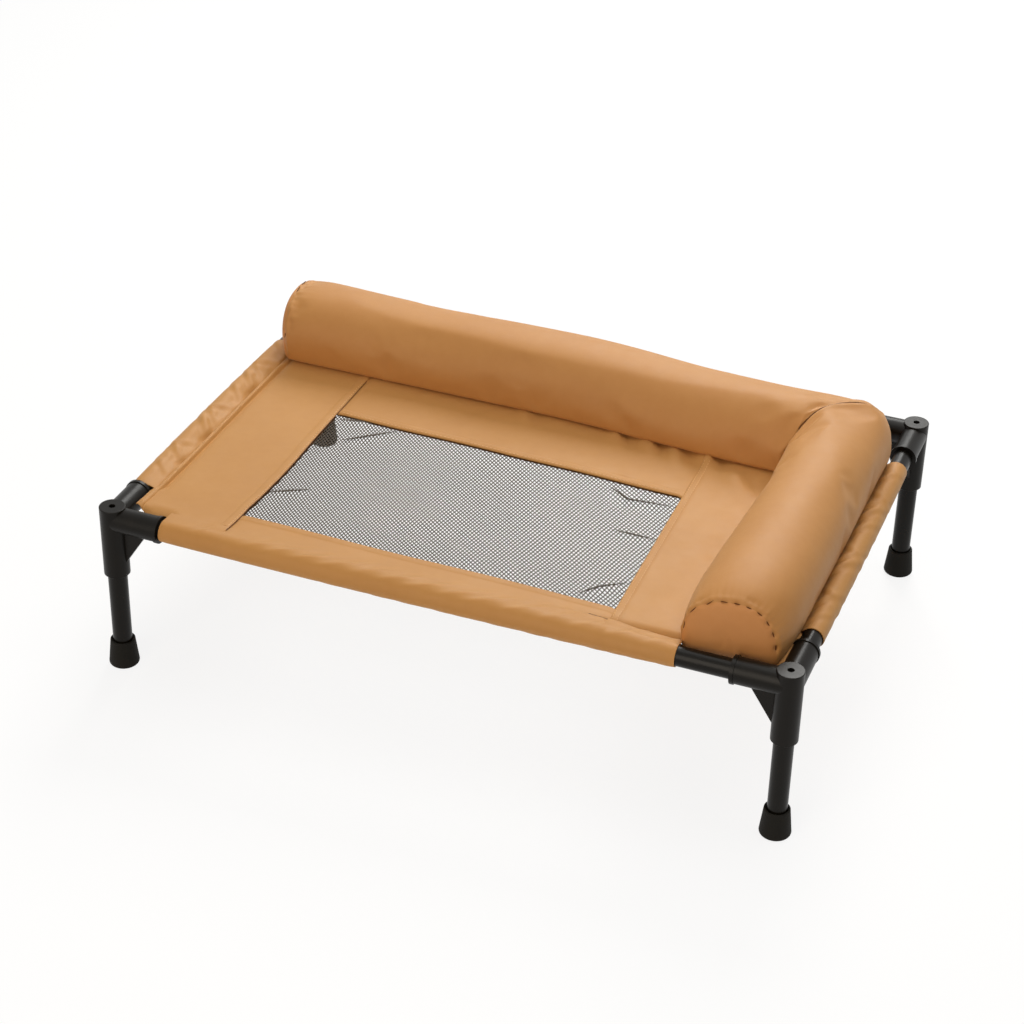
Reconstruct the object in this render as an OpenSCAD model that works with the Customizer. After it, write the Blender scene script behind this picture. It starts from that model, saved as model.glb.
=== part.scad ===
// Raised dog cot: a push-fit tube frame on four legs, a fabric sling with a mesh window,
// and two padded bolsters that meet in the rear right corner.
// Millimetres. X runs along the long side, Y to the back, Z up. The origin is on the floor
// under the middle of the frame.

/* [Frame] */
// Distance between the leg axes along the long side
leg_spacing_x = 670; // [520:5:1000]
// Distance between the leg axes along the short side
leg_spacing_y = 462; // [400:2:800]
// Height of the rail axes above the floor
rail_z = 168.5; // [120:0.5:300]
// Outside diameter of the steel tube
tube_d = 19; // [16:0.5:22]
// Wall of the steel tube
tube_wall = 1.2; // [0.8:0.1:2]
// Clearance all round a tube that is pushed into a socket or a foot
push_fit = 0.05; // [0.02:0.01:0.1]

/* [Corner connectors] */
// Wall of the two rail sockets
socket_wall = 3; // [2:0.1:4]
// Reach of a rail socket from the leg axis to its lip
socket_reach = 52; // [40:1:70]
// Solid wall between the leg axis side of a rail tube and the next tube
core_wall = 4.5; // [3:0.1:8]
// Solid floor between a rail bore and the leg bore below it
core_floor = 2.5; // [1.5:0.1:5]
// Wall of the leg socket
leg_socket_wall = 3.2; // [2.2:0.1:4.4]
// Drop of the leg socket below the rail axes
leg_socket_drop = 62; // [45:1:90]
// Height of the rim round each rail socket's lip
rim_rise = 0.9; // [0.4:0.1:2]
// Width of the rim along the socket
rim_len = 3.5; // [2:0.5:8]
// Rise of the top disc above the rail sockets
disc_rise = 1.4; // [0.8:0.1:4]
// Rounding of the top disc's edge
disc_edge_r = 0.8; // [0.3:0.1:1.2]
// Diameter of the pole hole in the top disc
pole_hole_d = 6.5; // [4:0.1:9]
// Depth of the pole hole
pole_hole_depth = 18; // [8:1:20]
// Thickness of the gusset webs
gusset_t = 5; // [3:0.5:9]
// Distance of a gusset's outer end from the rail socket's lip
gusset_setback = 16; // [8:1:22]
// Height of a gusset's lower end above the leg socket's lip
gusset_foot = 12; // [4:1:20]
// Chamfer at the lower lip of the leg socket
lip_chamfer = 1; // [0.3:0.1:2]

/* [Feet] */
// Height of a rubber foot
foot_h = 29; // [18:1:50]
// Wall of the foot at its upper lip
foot_lip_wall = 2.7; // [1.5:0.1:5]
// Wall of the foot at its base
foot_base_wall = 5.4; // [4:0.1:9]
// Thickness of the foot under the leg tube
foot_floor = 3.5; // [2:0.5:8]
// Rounding of the foot's lower edge
foot_edge_r = 3; // [1:0.5:3.5]
// Chamfer at the foot's upper lip
foot_lip_chamfer = 0.8; // [0.3:0.1:1]
// Width of the flare at the mouth of the foot
foot_flare_w = 1; // [0.3:0.1:1.5]
// Depth of the flare at the mouth of the foot
foot_flare_h = 4; // [1:0.5:8]

/* [Sling] */
// Thickness of the woven fabric
fabric_t = 1; // [0.6:0.1:2]
// Gap between a rail and the sleeve's inner face at its ends
sleeve_gap = 0.3; // [0.2:0.1:1]
// Looseness of a sleeve halfway along, on the radius
sleeve_slack = 1.3; // [0:0.1:3]
// Distance from a rail axis to the seam where its sleeve meets the panels
sleeve_tail = 18; // [16:0.5:30]
// Width of the sewn seam that closes a sleeve
sleeve_seam_w = 5; // [3:0.5:6]
// Height of the panels' middle above the rail axes
panel_rise = 6.5; // [4:0.5:8]
// Width of the left panel
left_panel_w = 99; // [40:1:130]
// Width of the right panel
right_panel_w = 159; // [60:1:180]
// Depth of the front panel
front_panel_d = 24; // [12:1:60]
// Depth of the rear panel
rear_panel_d = 195; // [60:1:205]
// Bare rail left of the front sleeve
front_bare_left = 2; // [1:1:60]
// Bare rail right of the front sleeve
front_bare_right = 51; // [1:1:90]
// Bare rail left of the rear sleeve
rear_bare_left = 7; // [1:1:60]
// Bare rail right of the rear sleeve
rear_bare_right = 46; // [1:1:90]
// Bare rail in front of the left sleeve
left_bare_front = 3; // [1:1:60]
// Bare rail behind the left sleeve
left_bare_rear = 43; // [1:1:90]
// Bare rail in front of the right sleeve
right_bare_front = 21; // [1:1:60]
// Bare rail behind the right sleeve
right_bare_rear = 27; // [1:1:60]

/* [Mesh window] */
// Thickness of the mesh
mesh_t = 0.8; // [0.4:0.1:1.5]
// Overlap of the mesh under the panel edges
mesh_hem = 10; // [4:1:11]
// Pitch of the diamond gaps
mesh_pitch = 26; // [20:1:40]
// Width of a strand between two gaps
mesh_strand = 2.2; // [1:0.1:4]

/* [Bolsters] */
// Width of a bolster across its roll
bolster_w = 98; // [70:1:120]
// Height of a bolster above the sling
bolster_h = 65; // [40:1:100]
// Height of a roll's widest line above its sole
bolster_waist = 21; // [10:1:24]
// How far a roll's inner side and its end seam tuck in from the widest line down to the sole
bolster_tuck = 3.5; // [0:0.5:12]
// Overhang of the side bolster past the inner side of the right sleeve
bolster_overhang = 6; // [0:0.5:7]
// Gap between the rear bolster and the rear panel's sewn edge
bolster_rear_gap = 15; // [5:1:40]
// Gap between the middle of the rear bolster's end seam and the left panel's sewn edge
bolster_left_gap = 2; // [2:0.5:40]
// Gap between the foremost point of the side bolster's end seam and the front rail sockets
bolster_front_gap = 4; // [2:0.5:40]
// Gap between a bolster and the sling under it
bolster_seat_gap = 0.3; // [0.2:0.1:0.8]
// Thickness of a bolster's cover
cover_t = 1; // [0.6:0.1:2]
// Gap at the mitre seam between the two rolls
mitre_gap = 0.2; // [0.1:0.1:0.8]
// Gap between a cover and its filling
filling_gap = 0.3; // [0.2:0.1:1]
// Crown of a bolster's end cap
cap_crown = 6; // [2:0.5:12]
// Drop of the rear roll's top at its end seam
rear_end_drop = 3; // [0:1:15]
// Drop of the side roll's top at its end seam
side_end_drop = 13; // [0:1:15]
// How far the rear roll's outer side draws in at its end seam
rear_end_nip = 3; // [0:1:15]
// How far the side roll's outer side draws in at its end seam
side_end_nip = 11; // [0:1:15]
// Turn of the rear roll's end seam in degrees, seen from above
rear_end_turn = -9; // [-15:1:15]
// Turn of the side roll's end seam in degrees, seen from above
side_end_turn = 4; // [-15:1:15]
// Length over which a roll draws in to its end seam
draw_in_len = 20; // [10:1:60]
// Rise and fall of a roll's skin along it
roll_swell = 1; // [0:0.1:2.5]
// Length of one swell along the roll
roll_swell_len = 190; // [80:5:400]

/* [Hidden] */
$fn = 64;
half_x = leg_spacing_x / 2;
half_y = leg_spacing_y / 2;
tube_r = tube_d / 2;
bore_r = tube_r + push_fit;

// Corner connectors
socket_r = bore_r + socket_wall;
rim_r = socket_r + rim_rise;
leg_socket_r = bore_r + leg_socket_wall;
core_reach = tube_r + core_wall;
leg_socket_z = rail_z - leg_socket_drop;
leg_top_z = rail_z - bore_r - core_floor;
disc_z = rail_z + socket_r + disc_rise;
gusset_reach = socket_reach - gusset_setback;
gusset_drop = leg_socket_drop - gusset_foot;

// Feet
foot_lip_or = bore_r + foot_lip_wall;
foot_base_or = bore_r + foot_base_wall;

// Sling
sleeve_r = tube_r + sleeve_gap + fabric_t;
panel_x = half_x - sleeve_tail;
panel_y = half_y - sleeve_tail;
panel_z = rail_z + panel_rise - fabric_t / 2;
sling_top_z = panel_z + fabric_t;
window_x0 = left_panel_w - panel_x;
window_x1 = panel_x - right_panel_w;
window_y0 = front_panel_d - panel_y;
window_y1 = panel_y - rear_panel_d;
inner_tip = 0.1;
sleeve_arc_steps = 18;
sleeve_spans = 8;

// Bolsters: the inner and outer lines of each roll, and the corner where the rolls meet. The outer
// side tucks in so far that the sole ends short of the right panel's sewn edge, clear of the sleeve.
bolster_z = sling_top_z + bolster_seat_gap;
side_outer_x = half_x - sleeve_r - sleeve_slack + bolster_overhang;
side_inner_x = side_outer_x - bolster_w;
outer_tuck = side_outer_x - panel_x + bolster_seat_gap;
rear_outer_y = panel_y - bolster_rear_gap;
rear_inner_y = rear_outer_y - bolster_w;
rear_end_x = bolster_left_gap - panel_x;
side_end_y = rim_r + bolster_front_gap - half_y + abs(tan(side_end_turn)) * bolster_w / 2;
rear_roll_len = side_inner_x - rear_end_x;
side_roll_len = rear_inner_y - side_end_y;
roll_sides = 28;
wall_sides = 3;
wall_turn = 360 * wall_sides / roll_sides;
rear_spans = 14;
side_spans = 12;
ring_crowd = 1.5;
plump = 0.85;
cap_rings = [1, 0.8, 0.5, 0.2];

// Corners: name, place of the leg axis, and turn that points the rail sockets along the frame
CORNERS = [
    ["front_left", [-half_x, -half_y], 0],
    ["front_right", [half_x, -half_y], 90],
    ["rear_right", [half_x, half_y], 180],
    ["rear_left", [-half_x, half_y], 270],
];

// Sides: name, place of the rail axis, turn that points the sleeve's tail inwards, leg spacing
// along the side, and the bare rail before and after the sleeve as it runs along the turned X axis
SIDES = [
    ["front", [0, -half_y], 0, leg_spacing_x, front_bare_left, front_bare_right],
    ["right", [half_x, 0], 90, leg_spacing_y, right_bare_front, right_bare_rear],
    ["rear", [0, half_y], 180, leg_spacing_x, rear_bare_right, rear_bare_left],
    ["left", [-half_x, 0], 270, leg_spacing_y, left_bare_rear, left_bare_front],
];

PANELS = [
    ["left", [-panel_x, -panel_y], [window_x0, panel_y]],
    ["right", [window_x1, -panel_y], [panel_x, panel_y]],
    ["front", [window_x0, -panel_y], [window_x1, window_y0]],
    ["rear", [window_x0, window_y1], [window_x1, panel_y]],
];

BOLSTERS = ["rear", "side"];

// Skins: rings of points joined by triangles

// Triangles between rings of points, numbered from start; flip turns them to face inwards
function skin(rings, sides, start, flip) = [
    for (i = [0 : rings - 2], j = [0 : sides - 1])
        let (
            a = start + i * sides + j,
            b = start + i * sides + (j + 1) % sides,
            c = a + sides,
            d = b + sides
        )
        each flip ? [[a, d, b], [a, c, d]] : [[a, b, d], [a, d, c]]
];

// Triangles across the wall between an outer and an inner ring; flip turns them round
function rim_strip(outer, inner, sides, flip) = [
    for (j = [0 : sides - 1])
        let (k = (j + 1) % sides)
        each flip
            ? [[outer + j, inner + k, outer + k], [outer + j, inner + j, inner + k]]
            : [[outer + j, outer + k, inner + k], [outer + j, inner + k, inner + j]]
];

// Triangles from a ring to one middle point; flip turns them round
function fan(ring, middle, sides, flip) = [
    for (j = [0 : sides - 1])
        let (k = (j + 1) % sides)
        flip ? [ring + j, middle, ring + k] : [ring + j, ring + k, middle]
];

function joined(rings) = [for (ring = rings) each ring];

// A tube of cloth: an outer skin, an inner skin and a rim at each end
module cloth_tube(outer, inner) {
    rings = len(outer);
    sides = len(outer[0]);
    within = rings * sides;
    last = (rings - 1) * sides;
    polyhedron(
        points = concat(joined(outer), joined(inner)),
        faces = concat(
            skin(rings, sides, 0, false),
            skin(rings, sides, within, true),
            rim_strip(0, within, sides, true),
            rim_strip(last, within + last, sides, false)
        ),
        convexity = 6
    );
}

// A solid roll: one skin, closed at each end by a fan to a middle point
module solid_roll(outer, first_middle, last_middle) {
    rings = len(outer);
    sides = len(outer[0]);
    last = (rings - 1) * sides;
    points = concat(joined(outer), [first_middle, last_middle]);
    polyhedron(
        points = points,
        faces = concat(
            skin(rings, sides, 0, false),
            fan(0, len(points) - 2, sides, true),
            fan(last, len(points) - 1, sides, false)
        ),
        convexity = 4
    );
}

// Steel tubes

module tube(length) {
    difference() {
        cylinder(h = length, r = tube_r);
        translate([0, 0, -1])
            cylinder(h = length + 2, r = tube_r - tube_wall);
    }
}

// A rail runs from blind end to blind end of its two rail sockets
module rail(side) {
    length = side[3] - 2 * core_reach;
    color([0.12, 0.12, 0.12])
        translate([side[1][0], side[1][1], rail_z])
        rotate([0, 0, side[2]])
        translate([-length / 2, 0, 0])
        rotate([0, 90, 0])
        tube(length);
}

module leg(corner) {
    color([0.12, 0.12, 0.12])
        translate([corner[1][0], corner[1][1], foot_floor])
        tube(leg_top_z - foot_floor);
}

// Corner connectors

// Leg socket and top disc in one turned body, with a chamfered lip and a rounded top edge
module leg_socket_body() {
    top = disc_z - leg_socket_z;
    round_at = [leg_socket_r - disc_edge_r, top - disc_edge_r];
    translate([0, 0, leg_socket_z])
        rotate_extrude() {
            polygon([
                [0, 0],
                [leg_socket_r - lip_chamfer, 0],
                [leg_socket_r, lip_chamfer],
                [leg_socket_r, round_at[1]],
                round_at,
                [round_at[0], top],
                [0, top],
            ]);
            translate(round_at)
                circle(r = disc_edge_r);
        }
}

// One rail socket along +X with its raised lip
module rail_socket_body() {
    translate([0, 0, rail_z])
        rotate([0, 90, 0]) {
            cylinder(h = socket_reach, r = socket_r);
            translate([0, 0, socket_reach - rim_len])
                cylinder(h = rim_len, r = rim_r);
        }
}

// Web under a rail socket along +X, sloping down to the leg socket
module gusset() {
    translate([0, gusset_t / 2, rail_z])
        rotate([90, 0, 0])
        linear_extrude(height = gusset_t)
        polygon([
            [0, 0],
            [gusset_reach, 0],
            [gusset_reach, -bore_r],
            [bore_r, -gusset_drop],
            [0, -gusset_drop],
        ]);
}

module rail_bore() {
    translate([core_reach, 0, rail_z])
        rotate([0, 90, 0])
        cylinder(h = socket_reach, r = bore_r);
}

module connector(corner) {
    color([0.15, 0.14, 0.14])
        translate([corner[1][0], corner[1][1], 0])
        rotate([0, 0, corner[2]])
        difference() {
            union() {
                leg_socket_body();
                for (turn = [0, 90])
                    rotate([0, 0, turn]) {
                        rail_socket_body();
                        gusset();
                    }
            }
            for (turn = [0, 90])
                rotate([0, 0, turn])
                    rail_bore();
            translate([0, 0, leg_socket_z - 1])
                cylinder(h = leg_top_z - leg_socket_z + 1, r = bore_r);
            translate([0, 0, disc_z - pole_hole_depth])
                cylinder(h = pole_hole_depth + 1, d = pole_hole_d);
        }
}

// A foot is a turned rubber cup with a wide rounded base and a flared mouth
module foot(corner) {
    round_at = [foot_base_or - foot_edge_r, foot_edge_r];
    color([0.13, 0.12, 0.12])
        translate([corner[1][0], corner[1][1], 0])
        rotate_extrude()
        difference() {
            union() {
                polygon([
                    [0, 0],
                    [round_at[0], 0],
                    round_at,
                    [foot_base_or, foot_edge_r],
                    [foot_lip_or, foot_h - foot_lip_chamfer],
                    [foot_lip_or - foot_lip_chamfer, foot_h],
                    [0, foot_h],
                ]);
                translate(round_at)
                    circle(r = foot_edge_r);
            }
            polygon([
                [0, foot_floor],
                [bore_r, foot_floor],
                [bore_r, foot_h - foot_flare_h],
                [bore_r + foot_flare_w, foot_h],
                [bore_r + foot_flare_w, foot_h + 1],
                [0, foot_h + 1],
            ]);
        }
}

// Sling

// Section of a sleeve, looking along the rail: an arc round the tube from the upper to the lower
// tangent of the tip, and the tip's two corners. Points are [inwards, up] from the rail axis.
function sleeve_loop(r, tip_x, tip_half) =
    let (
        tip_up = panel_rise + tip_half,
        tip_low = panel_rise - tip_half,
        from = atan2(tip_up, tip_x) + acos(r / norm([tip_x, tip_up])),
        to = 360 + atan2(tip_low, tip_x) - acos(r / norm([tip_x, tip_low]))
    )
    concat(
        [[tip_x, tip_up]],
        [for (i = [0 : sleeve_arc_steps])
            let (a = from + (to - from) * i / sleeve_arc_steps)
            [r * cos(a), r * sin(a)]],
        [[tip_x, tip_low]]
    );

// A sleeve is snug at its ends and loose halfway along
module sleeve(side) {
    start = socket_reach + side[4] - side[3] / 2;
    end = side[3] / 2 - socket_reach - side[5];
    along = [for (i = [0 : sleeve_spans]) i / sleeve_spans];
    function ring(t, r, tip_x, tip_half) = [
        for (p = sleeve_loop(r + sleeve_slack * sqrt(sin(180 * t)), tip_x, tip_half))
            [start + (end - start) * t, p[0], p[1]]
    ];
    color([0.8, 0.62, 0.4])
        translate([side[1][0], side[1][1], rail_z])
        rotate([0, 0, side[2]])
        cloth_tube(
            [for (t = along) ring(t, sleeve_r, sleeve_tail, fabric_t / 2)],
            [for (t = along) ring(t, sleeve_r - fabric_t, sleeve_tail - sleeve_seam_w, inner_tip)]
        );
}

module panel(panel) {
    size = panel[2] - panel[1];
    color([0.8, 0.62, 0.4])
        translate([panel[1][0], panel[1][1], panel_z])
        cube([size[0], size[1], fabric_t]);
}

// A net of diamond gaps in staggered rows, with a plain hem under the panels' edges
module mesh_panel() {
    size = [window_x1 - window_x0, window_y1 - window_y0];
    middle = [window_x0 + window_x1, window_y0 + window_y1] / 2;
    columns = floor(size[0] / mesh_pitch);
    rows = floor(2 * size[1] / mesh_pitch) - 1;
    reach = (mesh_pitch - mesh_strand * sqrt(2)) / 2;
    hem = size / 2 + [mesh_hem, mesh_hem];
    gaps = [
        for (row = [0 : rows - 1], column = [0 : columns - 1 - row % 2])
            [column - (columns - 1 - row % 2) / 2, (row - (rows - 1) / 2) / 2] * mesh_pitch
    ];
    corners = concat(
        [[-hem[0], -hem[1]], [hem[0], -hem[1]], hem, [-hem[0], hem[1]]],
        [for (gap = gaps, turn = [0 : 90 : 270]) gap + reach * [cos(turn), sin(turn)]]
    );
    color([0.6, 0.6, 0.6])
        translate([middle[0], middle[1], panel_z - mesh_t])
        linear_extrude(height = mesh_t)
        polygon(corners, [for (i = [0 : len(gaps)]) [4 * i, 4 * i + 1, 4 * i + 2, 4 * i + 3]]);
}

// Bolsters

// One point of a roll's D-shaped section, as [across, up] from the middle of its sole: a plump
// arch above the waist, and below it a wall that tucks in to the flat sole. size holds the reach
// inwards, the reach outwards, the height and the outer side's tuck. inset moves the point inwards.
function roll_point(angle, inset, size) =
    let (
        side = sign(cos(angle)),
        reach = (side < 0 ? size[0] : size[1]) - inset,
        tuck = side < 0 ? bolster_tuck : size[3],
        below = asin(-sin(angle)),
        wall = below / wall_turn
    )
    below <= 0
        ? [
            side * reach * pow(abs(cos(angle)), plump),
            bolster_waist + (size[2] - inset - bolster_waist) * pow(abs(sin(angle)), plump),
        ]
        : wall <= 1
        ? [
            side * (reach - tuck * (1 - cos(90 * wall))),
            inset + (bolster_waist - inset) * (1 - wall),
        ]
        : [side * (reach - tuck) * (90 - below) / (90 - wall_turn), inset];

// Size of a roll's section at a distance from its end seam; t is the share of the way to the mitre
function roll_size(roll, distance, t) =
    let (
        seam = exp(-distance / draw_in_len),
        swell = roll_swell * (1 - t) * sin(360 * distance / roll_swell_len),
        half = bolster_w / 2 + swell,
        nip = roll == "rear" ? rear_end_nip : side_end_nip,
        drop = roll == "rear" ? rear_end_drop : side_end_drop,
        tuck = outer_tuck + (bolster_tuck - outer_tuck) * seam
    )
    [half, half - nip * seam, bolster_h + swell - drop * seam, tuck];

function roll_length(roll) = roll == "rear" ? rear_roll_len : side_roll_len;

// Section of a roll with the middle of its end seam at x = 0 and its mitre at x = length on the
// inner side. The rings turn evenly from the end seam until the last one lies in the mitre.
function roll_ring(roll, t, inset) =
    let (
        length = roll_length(roll),
        size = roll_size(roll, length * t, t),
        lean = tan(roll == "rear" ? rear_end_turn : side_end_turn)
    )
    [
        for (i = [0 : roll_sides - 1])
            let (
                p = roll_point(360 * i / roll_sides, inset, size),
                mitre = length + bolster_w / 2 - mitre_gap / 2 + p[0]
            )
            [lean * p[0] * (1 - t) + mitre * t, p[0], p[1]]
    ];

// Shares of a roll's length at which it has a ring, closer together towards its end seam
function roll_steps(roll) =
    let (spans = roll == "rear" ? rear_spans : side_spans)
    [for (i = [0 : spans]) pow(i / spans, ring_crowd)];

// Puts a roll in its place: the rear roll runs along +X, and the side roll is its mirror image
// across the mitre and runs along +Y
module place_roll(roll) {
    if (roll == "rear")
        translate([rear_end_x, rear_inner_y + bolster_w / 2, bolster_z])
            children();
    else
        translate([side_inner_x + bolster_w / 2, side_end_y, bolster_z])
            mirror([1, -1, 0])
            children();
}

module bolster_cover(roll) {
    color([0.84, 0.65, 0.43])
        place_roll(roll)
        cloth_tube(
            [for (t = roll_steps(roll)) roll_ring(roll, t, 0)],
            [for (t = roll_steps(roll)) roll_ring(roll, t, cover_t)]
        );
}

// A D-shaped disc of cloth, crowned by the filling behind it
module bolster_cap(roll) {
    edge = roll_ring(roll, 0, 0);
    function face(back) = [
        for (f = cap_rings) [
            for (p = edge) [
                f * p[0] + back - cover_t - cap_crown * (1 - f * f),
                f * p[1],
                bolster_waist + f * (p[2] - bolster_waist),
            ]
        ]
    ];
    rings = len(cap_rings);
    within = rings * roll_sides;
    points = concat(
        joined(face(0)),
        joined(face(cover_t)),
        [[-cover_t - cap_crown, 0, bolster_waist], [-cap_crown, 0, bolster_waist]]
    );
    color([0.76, 0.55, 0.34])
        place_roll(roll)
        polyhedron(
            points = points,
            faces = concat(
                skin(rings, roll_sides, 0, true),
                fan(within - roll_sides, len(points) - 2, roll_sides, true),
                skin(rings, roll_sides, within, false),
                fan(2 * within - roll_sides, len(points) - 1, roll_sides, false),
                rim_strip(0, within, roll_sides, false)
            ),
            convexity = 4
        );
}

// The filling follows the cover from inside and fills the crown of the cap
module bolster_filling(roll) {
    inset = cover_t + filling_gap;
    color([0.94, 0.93, 0.9])
        place_roll(roll)
        solid_roll(
            [for (t = roll_steps(roll)) roll_ring(roll, t, inset)],
            [filling_gap - cap_crown, 0, bolster_waist],
            [roll_length(roll) + bolster_w / 2 - mitre_gap / 2, 0, bolster_waist]
        );
}

for (side = SIDES) {
    rail(side);
    sleeve(side);
}
for (corner = CORNERS) {
    connector(corner);
    leg(corner);
    foot(corner);
}
for (panel = PANELS) {
    panel(panel);
}
mesh_panel();
for (roll = BOLSTERS) {
    bolster_cover(roll);
    bolster_cap(roll);
    bolster_filling(roll);
}
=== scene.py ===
# %% [markdown]
# # Dressing a raised dog cot
#
# The cot is a knock-down steel frame that carries a tan sling with a mesh window and an L of two
# padded rolls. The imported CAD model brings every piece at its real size. This lesson gives the
# frame its finishes and remakes the soft pieces as cloth: sheets that wrap the rails, a knitted
# net, and bolsters that are blown up by a simulation. Sizes are in millimetres until a mesh is
# placed, because that is how a maker would read them.

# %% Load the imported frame
import math

import bpy
import numpy as np
from mathutils import Matrix, Vector


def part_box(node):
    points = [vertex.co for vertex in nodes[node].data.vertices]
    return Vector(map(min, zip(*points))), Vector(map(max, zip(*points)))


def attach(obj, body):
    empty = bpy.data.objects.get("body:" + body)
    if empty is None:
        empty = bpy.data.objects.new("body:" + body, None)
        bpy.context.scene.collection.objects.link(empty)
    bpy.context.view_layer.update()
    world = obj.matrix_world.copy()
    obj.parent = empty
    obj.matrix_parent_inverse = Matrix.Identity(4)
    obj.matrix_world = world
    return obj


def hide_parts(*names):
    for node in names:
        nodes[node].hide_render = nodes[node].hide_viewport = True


MM = 0.001
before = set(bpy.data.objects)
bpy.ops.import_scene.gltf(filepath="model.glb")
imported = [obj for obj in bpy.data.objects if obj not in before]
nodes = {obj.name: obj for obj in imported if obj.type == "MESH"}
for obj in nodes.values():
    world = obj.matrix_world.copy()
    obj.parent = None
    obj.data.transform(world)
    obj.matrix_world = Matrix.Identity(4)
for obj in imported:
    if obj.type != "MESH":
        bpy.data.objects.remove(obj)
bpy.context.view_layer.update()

# %% [markdown]
# ## The camera
#
# The viewing angle was worked out from the feet and the corner discs in the photograph: the camera
# stands to the right of the front side and looks down on the sling. A long lens keeps the far rail
# almost as long as the near one. A camera could be aimed with a constraint, but three angles and
# a place say the same thing and leave nothing to update.

# %% Camera at the photograph's viewing angle
turn, lift, roll = (math.radians(angle) for angle in (20.8581, 32.5975, 1.3265))
level = Vector((math.cos(turn), math.sin(turn), 0))
back = Vector((math.sin(turn) * math.cos(lift), -math.cos(turn) * math.cos(lift), math.sin(lift)))
upright = back.cross(level)
right = math.cos(roll) * level + math.sin(roll) * upright
up = math.cos(roll) * upright - math.sin(roll) * level
aim = Matrix((right, up, back)).transposed()

bpy.ops.object.camera_add(location=(0.709198, -1.902545, 1.422683), rotation=aim.to_euler())
camera = bpy.context.object
camera.data.sensor_width, camera.data.lens = 36, 84.876
bpy.context.scene.camera = camera
bpy.context.scene.view_settings.view_transform = "Standard"
print("camera looks along", [round(x, 3) for x in -back])

# %% [markdown]
# ## Shader maths as Python
#
# A finish is a small sum: a base colour, less some shade in the weave, plus a little cloud. Drawn
# as nodes, a sum takes a dozen boxes. One class that wraps a node's output lets the sum be written
# as a sum, and adds the Math nodes by itself.

# %% A wire between shader nodes
class Wire:
    """An output of a shader node. Arithmetic on wires adds the Math nodes that it needs."""

    def __init__(self, socket):
        self.socket, self.tree = socket, socket.id_data

    def node(self, kind, settings, values, out=0):
        """Adds a node, sets it up, feeds its sockets, and returns an output."""
        made = self.tree.nodes.new("ShaderNode" + kind)
        for name, value in settings.items():
            setattr(made, name, value)
        for name, value in values.items():
            if isinstance(value, Wire):
                self.tree.links.new(value.socket, made.inputs[name])
            else:
                made.inputs[name].default_value = value
        return Wire(made.outputs[out])

    def math(self, operation, first, second=0.0):
        return self.node("Math", {"operation": operation}, {0: first, 1: second})

    def __add__(self, other):
        return self.math("ADD", self, other)

    def __sub__(self, other):
        return self.math("SUBTRACT", self, other)

    def __rsub__(self, other):
        return self.math("SUBTRACT", other, self)

    def __mul__(self, other):
        return self.math("MULTIPLY", self, other)

    __radd__, __rmul__ = __add__, __mul__

    def between(self, low, high):
        """A colour that runs from low to high as this value runs from 0 to 1."""
        settings = {"data_type": "RGBA", "clamp_factor": True}
        return self.node("Mix", settings, {0: self, 6: (*low, 1), 7: (*high, 1)}, out=2)


def srgb(red, green, blue):
    """A colour from 0 to 255 in the linear numbers that a shader takes."""
    def linear(c):
        c /= 255
        return c / 12.92 if c <= 0.04045 else ((c + 0.055) / 1.055) ** 2.4
    return tuple(linear(c) for c in (red, green, blue))


def start_finish(name, coordinates, **constants):
    """A new material with its shader's constant sockets set, and a wire of its coordinates."""
    finish = bpy.data.materials.new(name)
    finish.use_nodes = True
    shader = finish.node_tree.nodes["Principled BSDF"]
    for socket, value in constants.items():
        shader.inputs[socket.replace("_", " ")].default_value = value
    place = finish.node_tree.nodes.new("ShaderNodeTexCoord").outputs[coordinates]
    return finish, shader, Wire(place)


def feed(shader, **wires):
    """Plugs wires into the shader's sockets."""
    for socket, wire in wires.items():
        wire.tree.links.new(wire.socket, shader.inputs[socket.replace("_", " ")])


def cloud(place, grain, detail=3.0):
    """Soft noise from 0 to 1 whose blotches are about this many millimetres wide."""
    values = {"Vector": place, "Scale": 1 / (grain * MM), "Detail": detail, "Roughness": 0.55}
    return place.node("TexNoise", {}, values)


def bump(height, distance, strength):
    """A normal from a height that runs from 0 to 1, where 1 is this many millimetres."""
    values = {"Height": height, "Distance": distance * MM, "Strength": strength}
    return height.node("Bump", {}, values)


print("shader tools ready")

# %% [markdown]
# ## Floor, light and background
#
# The picture is a studio shot on white. One lamp above the rear side gives the soft highlights along
# the rolls, a broad one overhead lights the sling, and a warmer one in front opens the shadows. The
# floor is cut into four tiles, one under each leg: a leg that is pulled out of its socket takes its
# tile along and still stands on something.

# %% Studio
def white_where_seen(wire_from, lit, seen):
    """Mixes in the seen shader wherever a camera, a mirror or clear glass looks at it."""
    paths = wire_from.node("LightPath", {}, {}).socket.node.outputs
    looks = Wire(paths["Is Camera Ray"]) + Wire(paths["Is Glossy Ray"])
    looks = looks + Wire(paths["Is Transmission Ray"])
    looked_at = looks.math("MINIMUM", looks, 1.0)
    return looked_at.node("MixShader", {}, {0: looked_at, 1: lit, 2: seen})


world = bpy.data.worlds.new("studio")
bpy.context.scene.world = world
world.use_nodes = True
sky_out = world.node_tree.nodes["World Output"]
sky_lit = Wire(world.node_tree.nodes["Background"].outputs[0])
sky_lit.socket.node.inputs["Color"].default_value = (1, 0.86, 0.72, 1)
sky_lit.socket.node.inputs["Strength"].default_value = 0.1
sky_seen = sky_lit.node("Background", {}, {"Color": (1, 1, 1, 1), "Strength": 1.0})
sky = white_where_seen(sky_lit, sky_lit, sky_seen)
world.node_tree.links.new(sky.socket, sky_out.inputs["Surface"])

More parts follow.
